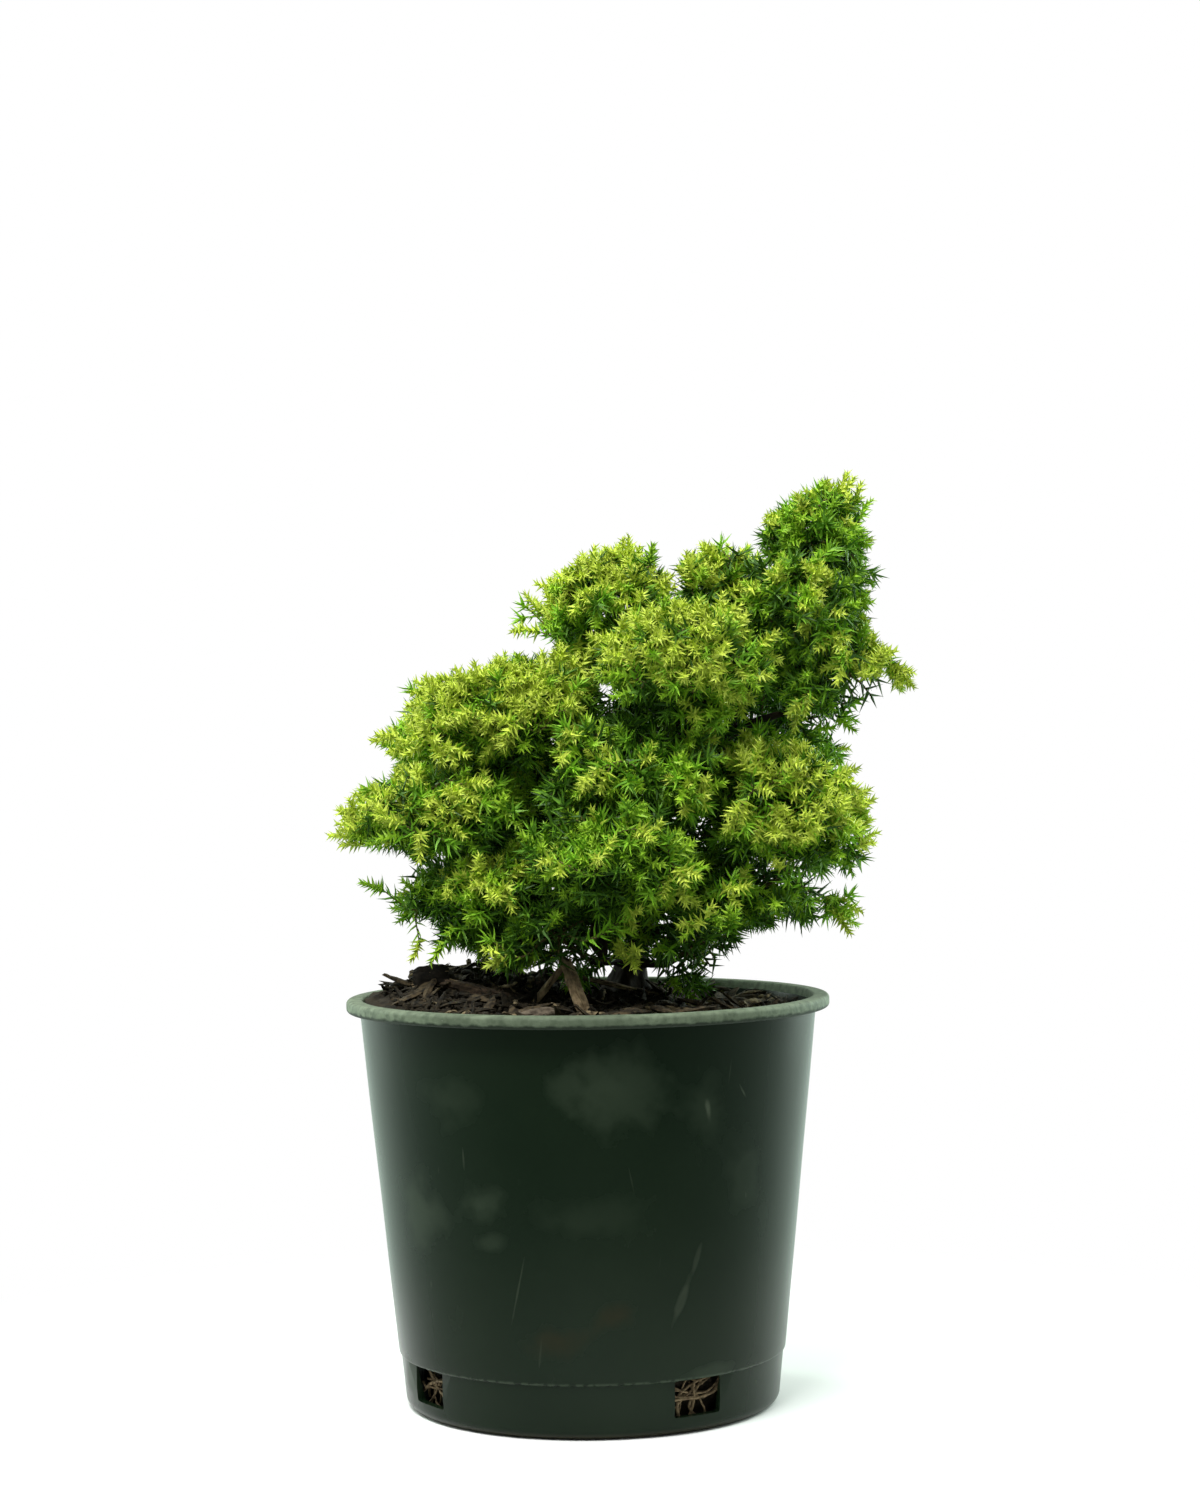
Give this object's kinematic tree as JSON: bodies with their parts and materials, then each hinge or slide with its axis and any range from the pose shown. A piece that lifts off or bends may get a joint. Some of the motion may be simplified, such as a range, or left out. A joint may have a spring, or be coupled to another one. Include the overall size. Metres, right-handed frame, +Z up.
{
  "type": "potted dwarf japanese cedar, a young leaning conifer in a round nursery pot",
  "caption": "Young dwarf Japanese cedar with a leaning trunk and dense mounded sprays of short needles, growing in bark mulch in a round dark green plastic nursery pot.",
  "frame": {"origin": "middle of the pot's flat underside, where the pot stands on a surface", "axes": "+Z up, -Y towards the front, +X the way the trunk leans"},
  "size_m": [0.2082, 0.178, 0.3375],
  "materials": {
    "pot_plastic": "dark green glossy moulded plastic, scuffed and dusty, with a dull grey-green rim",
    "potting_mix": "moist dark bark-based potting mix",
    "bark_mulch": "weathered split bark, brown and fibrous",
    "bark": "brown stringy bark, fissured lengthwise",
    "needles": "waxy green needles with yellow-green tips"
  },
  "bodies": {
    "root": {"bark_chip_front": "bark_mulch", "bark_chip_right": "bark_mulch", "bark_chunk_left": "bark_mulch", "bark_fork_long": "bark_mulch", "bark_fork_short": "bark_mulch", "bark_lump_right": "bark_mulch", "bark_splinter_right": "bark_mulch", "bark_strip_left": "bark_mulch", "bough_back_crown": "bark", "bough_back_left": "bark", "bough_back_low": "bark", "bough_back_right": "bark", "bough_far_left": "bark", "bough_front_crown": "bark", "bough_front_low": "bark", "bough_front_middle": "bark", "bough_left_back": "bark", "bough_left_middle": "bark", "bough_low_front": "bark", "bough_low_right": "bark", "bough_lower_left": "bark", "bough_lower_right": "bark", "bough_right_middle": "bark", "bough_right_shoulder": "bark", "bough_upper_front": "bark", "bough_upper_left": "bark", "bough_upper_middle": "bark", "bough_upper_right": "bark", "foliage_back_crown": "needles", "foliage_back_left": "needles", "foliage_back_low": "needles", "foliage_back_right": "needles", "foliage_far_left": "needles", "foliage_front_crown": "needles", "foliage_front_low": "needles", "foliage_front_middle": "needles", "foliage_leader": "needles", "foliage_left_back": "needles", "foliage_left_middle": "needles", "foliage_low_front": "needles", "foliage_low_right": "needles", "foliage_lower_left": "needles", "foliage_lower_right": "needles", "foliage_right_middle": "needles", "foliage_right_shoulder": "needles", "foliage_upper_front": "needles", "foliage_upper_left": "needles", "foliage_upper_middle": "needles", "foliage_upper_right": "needles", "pot": "pot_plastic", "potting_mix": "potting_mix", "trunk": "bark"}
  },
  "joints": []
}
